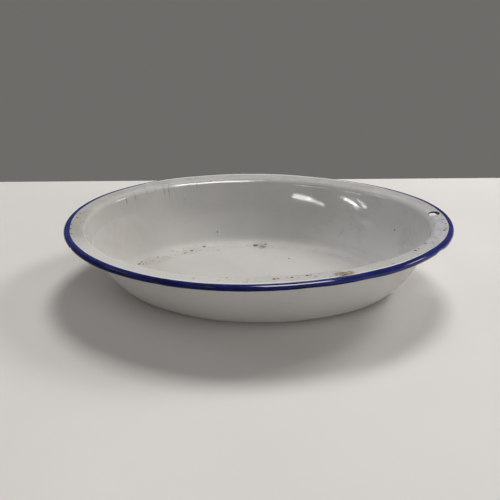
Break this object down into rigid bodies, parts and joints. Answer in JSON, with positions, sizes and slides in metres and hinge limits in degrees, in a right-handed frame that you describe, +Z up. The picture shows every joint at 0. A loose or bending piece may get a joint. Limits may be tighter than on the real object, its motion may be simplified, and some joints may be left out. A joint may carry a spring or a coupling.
{
  "type": "developing tray",
  "caption": "Shallow oval enamelled steel dish with a flat flange, a rolled coloured rim and a hanging hole, used as a darkroom developing tray.",
  "frame": {"origin": "underside of the floor, at the middle of the oval, on the surface the dish stands on", "axes": "+X along the oval's length, towards the end with the hanging hole; +Y across its width; +Z up"},
  "size_m": [0.252, 0.18, 0.0457],
  "materials": {
    "bare_steel": "low-carbon sheet steel under the enamel, darkened and rusted where a chip or the punched hole lays it bare",
    "white_enamel_inside": "glossy white vitreous enamel with fine hairline cracks, small dark chips and dirt in the crease of the floor",
    "white_enamel_outside": "glossy white vitreous enamel, lightly scuffed where it stands",
    "blue_enamel": "glossy deep blue vitreous enamel, brushed on round the rolled rim"
  },
  "bodies": {
    "root": {"steel_pan": "bare_steel", "inner_white_enamel": "white_enamel_inside", "outer_white_enamel": "white_enamel_outside", "blue_rim_enamel": "blue_enamel"}
  },
  "joints": []
}
